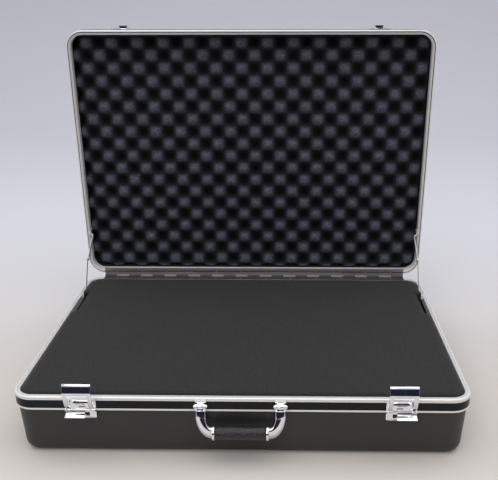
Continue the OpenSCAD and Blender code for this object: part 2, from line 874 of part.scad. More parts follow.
module handle_arm(side) {
    ear = (arm_w - eye_w) / 2 - side_gap;
    color("#d5d6dc")
        difference() {
            union() {
                at_bracket(side) translate([-bracket_x, 0, 0]) loft8(arm_points());
                // Fork either side of the bracket's eye
                at_bracket(side)
                    for (x = [-arm_w / 2, arm_w / 2 - ear])
                        along_x(x, x + ear) {
                            translate([handle_pin_f, 0]) circle(lug_r);
                            translate([handle_pin_f - lug_half, arm_top - cut]) square([2 * lug_half, cut - arm_top]);
                        }
            }
            at_bracket(side)
                translate([-arm_w, handle_pin_f, 0])
                    rotate([0, 90, 0])
                        cylinder(h = 2 * arm_w, r = handle_pin_r + pin_gap);
            at_bracket(side)
                translate([-bracket_x, grip_f, -grip_drop])
                    rotate([0, 90, 0])
                        cylinder(h = core_end, r = core_r + fit);
        }
}

module handle_arm_left() { handle_arm(-1); }
module handle_arm_right() { handle_arm(1); }

// Turned pieces of the grip, drawn along X from the handle's middle
module grip_place() {
    translate([handle_x, -case_d / 2 - grip_f, base_h - handle_pin_drop - grip_drop])
        rotate([0, 90, 0])
            children();
}

module handle_collars() {
    color("#e0e0e4")
        for (side = [-1, 1])
            grip_place()
                translate([0, 0, side * (grip_len + collar_len) / 2 - collar_len / 2])
                    difference() {
                        rotate_extrude()
                            polygon(concat([[0, fit / 2]], [[collar_r - 1, fit / 2]],
                                arc(collar_r - 1, 1 + fit / 2, 1, 270, 360, 3),
                                arc(collar_r - 1, collar_len - 1 - fit / 2, 1, 0, 90, 3), [[0, collar_len - fit / 2]]));
                        translate([0, 0, -cut]) cylinder(h = collar_len + 2 * cut, r = core_r + fit);
                    }
}

module handle_grip() {
    color("#232120")
        grip_place()
            difference() {
                translate([0, 0, -grip_len / 2]) cylinder(h = grip_len, r = grip_r);
                translate([0, 0, -grip_len]) cylinder(h = 2 * grip_len, r = core_r + fit);
            }
}

module handle_core() {
    color("#8d8f94")
        grip_place()
            translate([0, 0, -core_end + fit]) cylinder(h = 2 * core_end - 2 * fit, r = core_r);
}

// Lid pieces
module lid_shell() {
    color("#2c2c2d")
        opened() {
            up() shell_section(lid_h);
            translate([0, 0, base_h + rim_gap]) middle(lid_h - shell_wall, lid_h);
        }
}

module lid_valance() {
    color("#d8d6d4")
        opened()
            difference() {
                up() valance_section(true);
                translate([0, 0, base_h + rim_gap])
                    mirror([0, 0, 1])
                        leaf_rebate();
                at_leaf_rivets()
                    translate([0, 0, base_h + rim_gap + cut]) cylinder(h = deck_t, r = rivet_r + pin_gap);
                stay_rivet_holes(base_h + rim_gap + stay_drop);
            }
}

module lid_band() {
    color("#16181c") opened() up() band_section();
}

// Lies on the lid's rim, face to face with the base's leaf when the case is shut
module lid_hinge_leaf() {
    color("#8a8684")
        opened()
            translate([0, 0, base_h + rim_gap])
                mirror([0, 0, 1])
                    leaf(1);
}

module lid_hinge_rivets() {
    color("#a9a6a3")
        opened()
            at_leaf_rivets()
                translate([0, 0, base_h + rim_gap])
                    mirror([0, 0, 1])
                        leaf_rivet();
}

module lid_stay_rivets() {
    color("#cfccc8") opened() at_stay_pivots(base_h + rim_gap + stay_drop) stay_rivet();
}

// Convoluted foam: a grid with a point on every peak, valley and saddle of a waved sheet
// Grid lines: every half wave that is clear of the edges, and the edges themselves
function grid_lines(half, phase) = concat([-half],
    [for (k = [ceil((6 - half - phase) / egg_pitch):floor((half - 6 - phase) / egg_pitch)]) phase + k * egg_pitch],
    [half]);
grid_x = grid_lines(foam_half_w, egg_x);
grid_y = grid_lines(foam_half_d, hinge_y - egg_y);

// Depth of the waved face behind the rim
function egg_depth(x, y) = peak_in + egg_h / 2
    * (1 - cos(180 * (x - egg_x) / egg_pitch) * cos(180 * (y - hinge_y + egg_y) / egg_pitch));

// Draws a point that lies beyond a rounded corner back onto it
function in_corner(x, y, half_w, half_d, r) =
    let (dx = abs(x) - half_w + r, dy = abs(y) - half_d + r, d = norm([dx, dy]))
    dx > 0 && dy > 0 && d > r
        ? [sign(x) * (half_w - r + dx * r / d), sign(y) * (half_d - r + dy * r / d)]
        : [x, y];

module lid_foam() {
    nx = len(grid_x);
    ny = len(grid_y);
    back_in = edge_in(lid_h) - foam_side;
    face = [for (y = grid_y, x = grid_x)
        let (p = in_corner(x, y, foam_half_w, foam_half_d, foam_corner)) [p[0], p[1], egg_depth(x, y)]];
    // A saddle in the middle of each square of the grid, at the height of its corners
    saddles = [for (j = [0:ny - 2], i = [0:nx - 2])
        (face[j * nx + i] + face[j * nx + i + 1] + face[(j + 1) * nx + i] + face[(j + 1) * nx + i + 1]) / 4];
    // The edge of the grid, once round
    rim = concat([for (i = [0:nx - 1]) i], [for (j = [1:ny - 1]) j * nx + nx - 1],
        [for (i = [nx - 2:-1:0]) (ny - 1) * nx + i], [for (j = [ny - 2:-1:1]) j * nx]);
    n = len(rim);
    side_low = lid_h - edge_r;
    top = nx * ny;
    level = top + len(saddles);
    sides = [for (k = rim) [face[k][0], face[k][1], side_low]];
    foot = [for (k = rim)
        [face[k][0] * (1 - back_in / foam_half_w), face[k][1] * (1 - back_in / foam_half_d), foam_back]];
    color("#15161d")
        opened()
            translate([0, 0, base_h + rim_gap])
                polyhedron(concat(face, saddles, sides, foot, [[0, 0, foam_back]]), concat(
                    [for (j = [0:ny - 2], i = [0:nx - 2])
                        let (a = j * nx + i, m = top + j * (nx - 1) + i, ring = [a, a + 1, a + 1 + nx, a + nx])
                        for (k = [0:3]) [ring[k], ring[(k + 1) % 4], m]],
                    [for (k = [0:n - 1]) [rim[k], level + k, rim[(k + 1) % n]]],
                    [for (k = [0:n - 1]) [level + k, level + (k + 1) % n, rim[(k + 1) % n]]],
                    [for (k = [0:n - 1]) [level + k, level + n + k, level + (k + 1) % n]],
                    [for (k = [0:n - 1]) [level + n + k, level + n + (k + 1) % n, level + (k + 1) % n]],
                    [for (k = [0:n - 1]) [level + n + k, level + 2 * n, level + n + (k + 1) % n]]));
}

base_shell();
base_valance();
base_band();
base_foam_pad();
base_foam();
base_hinge_leaf();
hinge_pin();
base_hinge_rivets();
base_stay_rivets();
latch_left_plate();
latch_right_plate();
latch_pins();
latch_rivets();
handle_bracket_left();
handle_bracket_right();
handle_pins();
lid_shell();
lid_valance();
lid_band();
lid_foam();
lid_hinge_leaf();
lid_hinge_rivets();
lid_stay_rivets();
keeper_left();
keeper_right();
keeper_rivets();
handle_arm_left();
handle_arm_right();
handle_collars();
handle_grip();
handle_core();
latch_left_slide();
latch_left_hasp();
latch_right_slide();
latch_right_hasp();
stay_left_lower();
stay_left_upper();
stay_right_lower();
stay_right_upper();
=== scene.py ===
import json
import math

import bmesh
import bpy
import numpy as np
from mathutils import Matrix, Vector, noise

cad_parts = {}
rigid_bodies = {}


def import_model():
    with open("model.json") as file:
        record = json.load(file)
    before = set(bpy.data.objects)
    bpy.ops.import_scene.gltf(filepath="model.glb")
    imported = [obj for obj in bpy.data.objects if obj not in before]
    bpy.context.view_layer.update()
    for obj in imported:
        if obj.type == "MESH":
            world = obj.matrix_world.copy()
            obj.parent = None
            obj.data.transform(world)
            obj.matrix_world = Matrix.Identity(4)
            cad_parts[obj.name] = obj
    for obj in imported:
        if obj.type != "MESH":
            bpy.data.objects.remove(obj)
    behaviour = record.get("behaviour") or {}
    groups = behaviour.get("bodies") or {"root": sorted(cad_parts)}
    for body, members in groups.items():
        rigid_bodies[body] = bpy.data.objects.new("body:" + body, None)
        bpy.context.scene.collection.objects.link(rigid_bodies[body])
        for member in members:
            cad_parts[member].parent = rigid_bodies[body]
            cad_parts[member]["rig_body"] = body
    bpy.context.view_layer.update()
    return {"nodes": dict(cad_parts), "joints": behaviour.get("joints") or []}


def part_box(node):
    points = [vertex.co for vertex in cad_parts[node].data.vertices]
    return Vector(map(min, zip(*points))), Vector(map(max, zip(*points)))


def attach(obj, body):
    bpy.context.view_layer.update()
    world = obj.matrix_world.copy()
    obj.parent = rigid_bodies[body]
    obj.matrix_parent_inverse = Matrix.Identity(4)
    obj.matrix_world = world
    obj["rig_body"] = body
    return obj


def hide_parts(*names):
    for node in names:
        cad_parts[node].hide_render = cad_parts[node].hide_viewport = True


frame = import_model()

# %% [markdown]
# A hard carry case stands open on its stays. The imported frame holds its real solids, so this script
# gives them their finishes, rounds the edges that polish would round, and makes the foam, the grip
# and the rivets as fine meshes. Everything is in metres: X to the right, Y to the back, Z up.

MM = 0.001
collection = bpy.context.scene.collection

# %% [markdown]
# The hinge of the lid comes from the frame. A point of the closed lid is drawn where it would lie
# on the base's rim, and then turned open about the hinge, which keeps the lid's pieces easy to write.

# %% The hinge, the rim and the open lid
hinge = next(j for j in frame["joints"] if j["name"] == "lid_hinge")
hinge_at = Vector(hinge["pos_m"])
open_angle = math.radians(hinge["range_deg"][1])
opened = (Matrix.Translation(hinge_at) @ Matrix.Rotation(-open_angle, 4, "X")
          @ Matrix.Translation(-hinge_at))

rim_low, rim_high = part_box("base_valance")
case_w = rim_high.x - rim_low.x
case_d = rim_high.y - rim_low.y
base_h = rim_high.z
rim_gap = 2 * (hinge_at.z - base_h)
print("rim at", round(base_h / MM, 2), "mm, lid open by", round(math.degrees(open_angle), 1), "degrees")


# %% [markdown]
# Colours are written as sRGB hex codes, as a painter would note them, and turned to linear light once.
# A node tree is easier to read when one short function adds a node with its settings and its links.

# %% Colours and nodes
def colour(code):
    """Linear colour of an sRGB hex code."""
    parts = [int(code[i:i + 2], 16) / 255 for i in (0, 2, 4)]
    return [p / 12.92 if p <= 0.04045 else ((p + 0.055) / 1.055) ** 2.4 for p in parts] + [1]


def add(tree, kind, settings=None, inputs=None):
    """Adds a node. An input is a value, or a pair of a node and the name of its output."""
    made = tree.nodes.new(kind)
    for name, value in (settings or {}).items():
        setattr(made, name, value)
    for name, value in (inputs or {}).items():
        socket = made.inputs[name]
        if isinstance(value, tuple) and isinstance(value[0], bpy.types.Node):
            tree.links.new(value[0].outputs[value[1]], socket)
        else:
            socket.default_value = value
    return made


def ramp(tree, fac, stops):
    """A colour ramp with (position, colour) stops."""
    made = add(tree, "ShaderNodeValToRGB", None, {"Fac": fac})
    elements = made.color_ramp.elements
    while len(elements) < len(stops):
        elements.new(0.5)
    for element, (position, value) in zip(elements, stops):
        element.position = position
        element.color = value
    return made


def new_material(name, shader_inputs):
    """A material with one Principled shader. Returns the material, its tree and the shader."""
    material = bpy.data.materials.new(name)
    material.use_nodes = True
    tree = material.node_tree
    tree.nodes.clear()
    shader = add(tree, "ShaderNodeBsdfPrincipled", None, shader_inputs)
    add(tree, "ShaderNodeOutputMaterial", None, {"Surface": (shader, "BSDF")})
    return material, tree, shader


def bump(tree, shader, height, distance, strength=1.0):
    """Raises a shader's surface by a height of 0 to 1 times a distance in metres."""
    made = add(tree, "ShaderNodeBump", None,
               {"Height": height, "Distance": distance, "Strength": strength})
    tree.links.new(made.outputs["Normal"], shader.inputs["Normal"])


# %% [markdown]
# The shells are moulded ABS with a fine pebble grain, about 1.2 mm from grain to grain. The grain
# breaks the reflection of the room into a dull sheen that is a little lighter than the plastic.

# %% Moulded ABS
def moulded_abs():
    material, tree, shader = new_material("ABS, moulded with a pebble grain",
                                          {"Roughness": 0.46, "IOR": 1.53})
    place = add(tree, "ShaderNodeTexCoord")
    grain = add(tree, "ShaderNodeTexVoronoi", {"feature": "SMOOTH_F1"},
                {"Vector": (place, "Object"), "Scale": 1 / (1.2 * MM), "Smoothness": 0.6})
    cloud = add(tree, "ShaderNodeTexNoise", None,
                {"Vector": (place, "Object"), "Scale": 1 / (90 * MM), "Detail": 3.0})
    tone = ramp(tree, (cloud, "Fac"), [(0.3, colour("252526")), (0.7, colour("2C2C2B"))])
    tree.links.new(tone.outputs["Color"], shader.inputs["Base Color"])
    bump(tree, shader, (grain, "Distance"), 0.25 * MM, 0.5)
    return material


# %% [markdown]
# The valances are aluminium, drawn through a die and anodised. Drawing leaves fine lines along the
# bar, so the roughness and the height change quickly across the profile and hardly at all along it.

# %% Extruded aluminium
def extruded_aluminium(name, turn, metal):
    material, tree, shader = new_material(name, {
        "Base Color": colour("F2F0EE"), "Metallic": metal, "Roughness": 0.36})
    place = add(tree, "ShaderNodeTexCoord")
    lay = add(tree, "ShaderNodeMapping", None,
              {"Vector": (place, "Object"), "Rotation": (turn, 0, 0), "Scale": (0.02, 0.02, 1.0)})
    lines = add(tree, "ShaderNodeTexNoise", None,
                {"Vector": (lay, "Vector"), "Scale": 1 / (0.5 * MM), "Detail": 2.0})
    haze = add(tree, "ShaderNodeTexNoise", None,
               {"Vector": (place, "Object"), "Scale": 1 / (40 * MM), "Detail": 3.0})
    both = add(tree, "ShaderNodeMix", {"data_type": "FLOAT"},
               {"Factor": 0.5, "A": (lines, "Fac"), "B": (haze, "Fac")})
    rough = add(tree, "ShaderNodeMapRange", None,
                {"Value": (both, "Result"), "To Min": 0.3, "To Max": 0.46})
    tree.links.new(rough.outputs["Result"], shader.inputs["Roughness"])
    bump(tree, shader, (lines, "Fac"), 0.03 * MM, 0.4)
    return material


# %% [markdown]
# The band in the valance's recess is black PVC strip. It is smooth and mirrors the dark side of the
# room, so it looks blue-black.

# %% PVC strip
def pvc_strip():
    material, tree, shader = new_material("PVC strip, extruded", {
        "Roughness": 0.3, "Specular IOR Level": 0.22})
    place = add(tree, "ShaderNodeTexCoord")
    cloud = add(tree, "ShaderNodeTexNoise", None,
                {"Vector": (place, "Object"), "Scale": 1 / (60 * MM), "Detail": 2.0})
    tone = ramp(tree, (cloud, "Fac"), [(0.3, colour("0D1218")), (0.7, colour("11171E"))])
    tree.links.new(tone.outputs["Color"], shader.inputs["Base Color"])
    return material


# %% [markdown]
# Polyurethane foam is cut from a block, so its face is made of open cells. Real cells are about
# 0.6 mm wide, too fine to show, so they are drawn 1.6 mm wide here. The middle of each cell is
# painted darker, as painted shade in the cell's pit, which makes foam look darker than its threads
# are; a finer noise mixed in gives the foam's own tone a random change.

# %% Polyurethane foam
def foam_material(name, dark, light, cell, shade_hollows=False):
    material, tree, shader = new_material(name, {
        "Roughness": 0.95, "Specular IOR Level": 0.2, "Sheen Weight": 0.08, "Sheen Roughness": 0.6})
    place = add(tree, "ShaderNodeTexCoord")
    cells = add(tree, "ShaderNodeTexVoronoi", {"feature": "F1"},
                {"Vector": (place, "Object"), "Scale": 1 / cell, "Randomness": 1.0})
    fine = add(tree, "ShaderNodeTexNoise", None,
               {"Vector": (place, "Object"), "Scale": 1 / (2.2 * cell), "Detail": 4.0, "Roughness": 0.7})
    both = add(tree, "ShaderNodeMix", {"data_type": "FLOAT"},
               {"Factor": 0.6, "A": (cells, "Distance"), "B": (fine, "Fac")})
    # The low middles of the cells get the dark colour: painted shade in the pits, mixed with random tone
    tone = ramp(tree, (both, "Result"), [(0.3, colour(dark)), (0.65, colour(light))])
    shade = (tone, "Color")
    if shade_hollows:
        # Painted shade: the deeper a point lies in the relief, the darker it is drawn, darkest in the hollows
        hollow = add(tree, "ShaderNodeAttribute", {"attribute_name": "hollow"})
        painted_hollow_shade = ramp(tree, (hollow, "Fac"), [
            (0.2, colour("FFFFFF")), (0.55, colour("747478")), (0.85, colour("1C1C24"))])
        shade = (add(tree, "ShaderNodeMix", {"data_type": "RGBA", "blend_type": "MULTIPLY"},
                     {0: 1.0, 6: shade, 7: (painted_hollow_shade, "Color")}), 2)
    tree.links.new(shade[0].outputs[shade[1]], shader.inputs["Base Color"])
    bump(tree, shader, (both, "Result"), 0.5 * MM, 0.8)
    return material


# %% [markdown]
# Latches, keepers and the handle's metal are zinc castings and pressed steel with bright chrome.
# Chrome is nearly a mirror: what it shows is the room. Fingers leave it a little dull in places.

# %% Chrome plate
def chrome_plate():
    material, tree, shader = new_material("Steel with bright chrome plate", {
        "Base Color": colour("F0F0F2"), "Metallic": 1.0})
    place = add(tree, "ShaderNodeTexCoord")
    smears = add(tree, "ShaderNodeTexNoise", None,
                 {"Vector": (place, "Object"), "Scale": 1 / (9 * MM), "Detail": 4.0})
    rough = add(tree, "ShaderNodeMapRange", None,
                {"Value": (smears, "Fac"), "From Min": 0.4, "From Max": 0.75, "To Min": 0.05, "To Max": 0.16})
    tree.links.new(rough.outputs["Result"], shader.inputs["Roughness"])
    return material


# %% [markdown]
# Hinge leaves, links and rivets are cold-rolled steel. The hinge is dull, the links are zinc plated
# and lighter. The hinge's two leaves are one steel in two tones: the lid's leaf, which stands
# upright in shade, and the pin are painted lighter, and the base's leaf, which lies flat in the
# light, is painted darker. Rolling leaves faint streaks along the strip.

# %% Rolled steel
def rolled_steel(name, tone, low, high, metal):
    material, tree, shader = new_material(name, {"Base Color": colour(tone), "Metallic": metal})
    place = add(tree, "ShaderNodeTexCoord")
    lay = add(tree, "ShaderNodeMapping", None, {"Vector": (place, "Object"), "Scale": (0.05, 1.0, 1.0)})
    streaks = add(tree, "ShaderNodeTexNoise", None,
                  {"Vector": (lay, "Vector"), "Scale": 1 / (1.5 * MM), "Detail": 3.0})
    rough = add(tree, "ShaderNodeMapRange", None,
                {"Value": (streaks, "Fac"), "To Min": low, "To Max": high})
    tree.links.new(rough.outputs["Result"], shader.inputs["Roughness"])
    bump(tree, shader, (streaks, "Fac"), 0.02 * MM, 0.3)
    return material


# %% [markdown]
# The grip is a moulded vinyl sleeve with a leather grain, nearly black. The tops of its small bumps
# are painted grey-brown all round, as painted highlights, and the ceiling light adds real glints above.

# %% Grained vinyl
def grained_vinyl():
    material, tree, shader = new_material("Vinyl, moulded with a leather grain",
                                          {"Roughness": 0.36, "IOR": 1.5})
    place = add(tree, "ShaderNodeTexCoord")
    grain = add(tree, "ShaderNodeTexVoronoi", {"feature": "F1"},
                {"Vector": (place, "Object"), "Scale": 1 / (1.8 * MM)})
    # Painted highlight: the middles of the grain's cells, the tops of its bumps, grey-brown; the rest nearly
    # black
    tone = ramp(tree, (grain, "Distance"), [(0.1, colour("574B46")), (0.5, colour("14161A"))])
    tree.links.new(tone.outputs["Color"], shader.inputs["Base Color"])
    bump(tree, shader, (grain, "Distance"), -0.5 * MM, 1.0)
    return material


# %% Make the finishes
abs_plastic = moulded_abs()
aluminium_base = extruded_aluminium("Aluminium, extruded and anodised, base", 0, 0.45)
aluminium_lid = extruded_aluminium("Aluminium, extruded and anodised, lid", open_angle, 0.25)
band_vinyl = pvc_strip()
base_foam_skin = foam_material("Polyurethane foam, charcoal", "161413", "32302E", 1.6 * MM)
lid_foam_skin = foam_material("Polyurethane foam, black, convoluted", "23242C", "696B79", 1.6 * MM, True)
chrome = chrome_plate()
# Painted light: the lid's leaf and the pin lighter against their shade, the base's leaf darker against its
# light
hinge_steel_painted_lighter = rolled_steel("Steel strip, cold rolled, lid leaf", "8E8686", 0.5, 0.7, 0.2)
base_leaf_steel_painted_darker = rolled_steel("Steel strip, cold rolled, base leaf", "484545", 0.55, 0.7, 0.2)
zinc_steel = rolled_steel("Steel strip, zinc plated", "DEDBD8", 0.25, 0.38, 0.6)
rivet_steel = rolled_steel("Steel rivet, zinc plated", "8E8A88", 0.35, 0.5, 0.6)
vinyl = grained_vinyl()
print(len(bpy.data.materials), "materials")


# %% [markdown]
# A CAD node keeps its own mesh and only gets a finish. Small hardware is different: real castings
# and pressings have rounded edges, and on chrome those edges are what the eye sees. So each one is
# copied, its doubled corners are merged, and a Bevel modifier rounds every edge sharper than a bend.

# %% Finishes for nodes, and softened copies
def finish_node(node, material):
    mesh = frame["nodes"][node].data
    mesh.materials.clear()
    mesh.materials.append(material)
    for face in mesh.polygons:
        face.material_index = 0


def new_object(name, mesh, material):
    mesh.materials.clear()
    mesh.materials.append(material)
    made = bpy.data.objects.new(name, mesh)
    collection.objects.link(made)
    return made


def settle(made):
    """Turns an object's modifiers into its own plain mesh."""
    graph = bpy.context.evaluated_depsgraph_get()
    mesh = bpy.data.meshes.new_from_object(made.evaluated_get(graph))
    made.modifiers.clear()
    made.data = mesh
    return made


def smooth(made, degrees=35):
    made.data.shade_smooth()
    made.data.set_sharp_from_angle(angle=math.radians(degrees))
    return made


def hand_over(made, body, node_names):
    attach(made, body)
    if node_names:
        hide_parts(*node_names)
    return made


def softened(node, name, material, width, segments=2, bend=28, reshape=None):
    """A copy of a CAD node with its edges rounded, in the node's place."""
    mesh = frame["nodes"][node].data.copy()
    work = bmesh.new()
    work.from_mesh(mesh)
    bmesh.ops.remove_doubles(work, verts=work.verts, dist=0.002 * MM)
    bmesh.ops.dissolve_limit(work, angle_limit=math.radians(0.5), verts=work.verts, edges=work.edges)
    if reshape:
        reshape(work)
    work.to_mesh(mesh)
    work.free()
    made = new_object(name, mesh, material)
    edge = made.modifiers.new("Rounded edges", "BEVEL")
    edge.width = width
    edge.segments = segments
    edge.limit_method = "ANGLE"
    edge.angle_limit = math.radians(bend)
    edge.use_clamp_overlap = True
    settle(made)
    smooth(made)
    body = frame["nodes"][node]["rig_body"]
    return hand_over(made, body, [node])


# %% Finish the large nodes
for node in ("base_shell", "lid_shell"):
    finish_node(node, abs_plastic)
finish_node("base_valance", aluminium_base)
finish_node("lid_valance", aluminium_lid)
for node in ("base_band", "lid_band"):
    finish_node(node, band_vinyl)
finish_node("hinge_pin", hinge_steel_painted_lighter)
finish_node("base_hinge_leaf", base_leaf_steel_painted_darker)
finish_node("handle_core", zinc_steel)
finish_node("base_foam_pad", base_foam_skin)
for node in ("base_stay_rivets", "lid_stay_rivets"):
    finish_node(node, rivet_steel)
finish_node("latch_pins", chrome)

# %% [markdown]
# The top of a hasp is bent back towards the lid, so that it hooks over the keeper, and the keeper's
# post is low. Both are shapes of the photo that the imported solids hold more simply.

# %% Round the hardware
hasp_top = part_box("latch_left_hasp")[1].z
keeper_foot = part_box("lid_valance")[1].z
keeper_plate = 1.6 * MM
fold_h = 17 * MM
fold_back, fold_drop = 0.42, 0.26
leaf_more = 2.6 * MM
leaf_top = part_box("lid_hinge_leaf")[1].z


def bend_top(work):
    """Folds the upper 17 mm of a hasp back, which also lowers it by 4.5 mm."""
    fold = hasp_top - fold_h
    everything = work.verts[:] + work.edges[:] + work.faces[:]
    bmesh.ops.bisect_plane(work, geom=everything, plane_co=(0, 0, fold), plane_no=(0, 0, 1))
    for point in work.verts:
        over = max(0.0, point.co.z - fold)
        point.co.y += fold_back * over
        point.co.z -= fold_drop * over


def widen_leaf(work):
    """Takes the lid's hinge leaf up to the foam, over the last of the rim."""
    for point in work.verts:
        if point.co.z > leaf_top - 1 * MM:
            point.co.z += leaf_more


def lower_post(work):
    """Halves a keeper's post over its plate, and makes the plate half as thick again."""
    for point in work.verts:
        over = point.co.z - keeper_foot
        point.co.z += 0.5 * min(over, keeper_plate) - 0.5 * max(0.0, over - keeper_plate)


for side in ("left", "right"):
    for part, width, reshape in (("plate", 0.35, None), ("slide", 0.45, None), ("hasp", 0.4, bend_top)):
        softened(f"latch_{side}_{part}", f"latch_{side}_{part}_chrome", chrome, width * MM,
                 reshape=reshape)
    softened(f"keeper_{side}", f"keeper_{side}_chrome", chrome, 0.35 * MM, reshape=lower_post)
    softened(f"handle_bracket_{side}", f"handle_bracket_{side}_chrome", chrome, 0.35 * MM)
    for part in ("lower", "upper"):
        softened(f"stay_{side}_{part}", f"stay_{side}_{part}_zinc", zinc_steel, 0.3 * MM)
softened("handle_collars", "handle_collars_chrome", chrome, 0.2 * MM)
softened("lid_hinge_leaf", "lid_hinge_leaf_strip", hinge_steel_painted_lighter, 0.1 * MM, reshape=widen_leaf)

# %% [markdown]
# A handle arm is a casting that leaves the pins upright, turns through a quarter of an ellipse and
# meets the grip. Its outer edge is wide and bevelled, and the bevel grows towards the grip. It is a
# loft: rings of points between an inner and an outer curve, close enough for a smooth reflection.

# %% Handle arms
pin_joint = next(j for j in frame["joints"] if j["name"] == "handle_swing")
pins_at = Vector(pin_joint["pos_m"])
grip_low, grip_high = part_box("handle_grip")
grip_at = (grip_low + grip_high) / 2
grip_r = (grip_high.z - grip_low.z) / 2
collar_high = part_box("handle_collars")[1]
handle_x = grip_at.x
bracket_x = (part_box("handle_bracket_right")[0].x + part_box("handle_bracket_right")[1].x) / 2 - handle_x
arm_w = 16.5 * MM
end_h = 21 * MM
arm_top = -5.2 * MM
outer_drop = 14 * MM
inner_drop = 17 * MM
lug_r = 4 * MM
ear_w = 3.4 * MM
arm_half, arm_swell = 3.6, 3.4
grip_drop = pins_at.z - grip_at.z
grip_out = pins_at.y - grip_at.y
collar_x = collar_high.x - handle_x


def arm_edges(share):
    """Outer and inner edge of the arm, as (across, below the pins), at a share of its turn."""
    a = share * math.pi / 2
    outer = (collar_x + (bracket_x + arm_w / 2 - collar_x) * math.cos(a),
             -outer_drop - (grip_drop + end_h / 2 - outer_drop) * math.sin(a))
    inner = (collar_x + (bracket_x - arm_w / 2 - collar_x) * math.cos(a),
             -inner_drop - (grip_drop - end_h / 2 - inner_drop) * math.sin(a))
    return outer, inner


def arm_section(t):
    """Points round the arm, as (share from the inner to the outer edge, share of half the depth)."""
    crease = 0.86 - 0.34 * t
    return [(0.0, 0.25), (0.05, 0.8), (0.14, 1.0), (crease - 0.04, 1.0), (crease + 0.02, 0.94),
            (0.97, 0.2), (1.0, 0.05), (1.0, -0.45), (0.95, -0.85), (0.86, -1.0), (0.14, -1.0),
            (0.04, -0.85)]


def handle_arm(side, name):
    rings = 40
    places = [(0.0, (bracket_x + arm_w / 2, arm_top), (bracket_x - arm_w / 2, arm_top))]
    for k in range(rings + 1):
        outer, inner = arm_edges(k / rings)
        places.append((0.2 + 0.8 * k / rings, outer, inner))
    work = bmesh.new()
    loops = []
    for t, outer, inner in places:
        # Seen from the side the arm runs straight from the pins to the grip
        middle = grip_out * min(1.0, -(outer[1] + inner[1]) / 2 / grip_drop)
        half = (arm_half + arm_swell * t) * MM
        loop = []
        for across, depth in arm_section(t):
            x = inner[0] + (outer[0] - inner[0]) * across
            z = inner[1] + (outer[1] - inner[1]) * across
            y = -(middle + half * depth)
            loop.append(work.verts.new((handle_x + side * x, pins_at.y + y, pins_at.z + z)))
        loops.append(loop)
    for a, b in zip(loops, loops[1:]):
        for i in range(len(a)):
            j = (i + 1) % len(a)
            work.faces.new((a[i], a[j], b[j], b[i]))
    work.faces.new(loops[0])
    work.faces.new(loops[-1])
    # The fork that straddles the bracket's eye
    for ear in (-1, 1):
        centre = bracket_x + ear * (arm_w - ear_w) / 2
        outline = [(lug_r * 0.85, arm_top - 1 * MM)]
        for k in range(17):
            a = math.pi * k / 16
            outline.append((lug_r * math.cos(a), lug_r * math.sin(a)))
        outline.append((-lug_r * 0.85, arm_top - 1 * MM))
        faces = []
        for x in (centre - ear_w / 2, centre + ear_w / 2):
            faces.append([work.verts.new((handle_x + side * x, pins_at.y + p[0], pins_at.z + p[1]))
                          for p in outline])
        work.faces.new(faces[0])
        work.faces.new(faces[1])
        for i in range(len(outline)):
            j = (i + 1) % len(outline)
            work.faces.new((faces[0][i], faces[0][j], faces[1][j], faces[1][i]))
    bmesh.ops.recalc_face_normals(work, faces=work.faces)
    mesh = bpy.data.meshes.new(name)
    work.to_mesh(mesh)
    work.free()
    made = new_object(name, mesh, chrome)
    edge = made.modifiers.new("Rounded edges", "BEVEL")
    edge.width = 0.4 * MM
    edge.segments = 2
    edge.limit_method = "ANGLE"
    edge.angle_limit = math.radians(40)
    settle(made)
    smooth(made, 40)
    return made


for side, word in ((-1, "left"), (1, "right")):
    arm = handle_arm(side, f"handle_arm_{word}_chrome")
    hand_over(arm, "handle", [f"handle_arm_{word}"])
    print(arm.name, len(arm.data.polygons), "faces")

# %% [markdown]
# Each arm turns on a pin that is riveted over at both ends. The pins are turned from a profile of
# radii along their axis, and their heads stand 0.3 mm clear of the arms. The arms' ears are drawn
# without a bore, so the shank runs through them unseen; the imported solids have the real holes.

# %% Handle pins
def turned(work, start, profile, sides=28):
    """Adds a solid turned about an axis along X, from (along, radius) pairs."""
    loops = [[work.verts.new((start.x + along, start.y + r * math.cos(2 * math.pi * k / sides),
                              start.z + r * math.sin(2 * math.pi * k / sides))) for k in range(sides)]
             for along, r in profile]
    for a, b in zip(loops, loops[1:]):
        for k in range(sides):
            j = (k + 1) % sides
            work.faces.new((a[k], a[j], b[j], b[k]))
    work.faces.new(loops[0])
    work.faces.new(loops[-1])


def handle_pins():
    shank, head = arm_w / 2 + 0.3 * MM, 2.9 * MM
    half = [(0.0, 1.55), (shank / MM, 1.55), (shank / MM, 2.75), (shank / MM + 0.2, 2.9),
            (shank / MM + 1.3, 2.9), (shank / MM + 1.9, 2.4), (shank / MM + 2.2, 1.2)]
    profile = [(-a * MM, r * MM) for a, r in half[:0:-1]] + [(a * MM, r * MM) for a, r in half[1:]]
    work = bmesh.new()
    for side in (-1, 1):
        turned(work, Vector((handle_x + side * bracket_x, pins_at.y, pins_at.z)), profile)
    bmesh.ops.recalc_face_normals(work, faces=work.faces)
    mesh = bpy.data.meshes.new("handle_pin_heads")
    work.to_mesh(mesh)
    work.free()
    made = smooth(new_object("handle_pin_heads", mesh, chrome), 35)
    return hand_over(made, frame["nodes"]["handle_pins"]["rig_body"], ["handle_pins"])


print("pins", len(handle_pins().data.polygons), "faces")

# %% [markdown]
# The grip's sleeve is turned about the handle's bar: a cylinder whose ends roll in towards the
# collars. It is spun from a short profile, with enough rings that its grain can be real bumps.

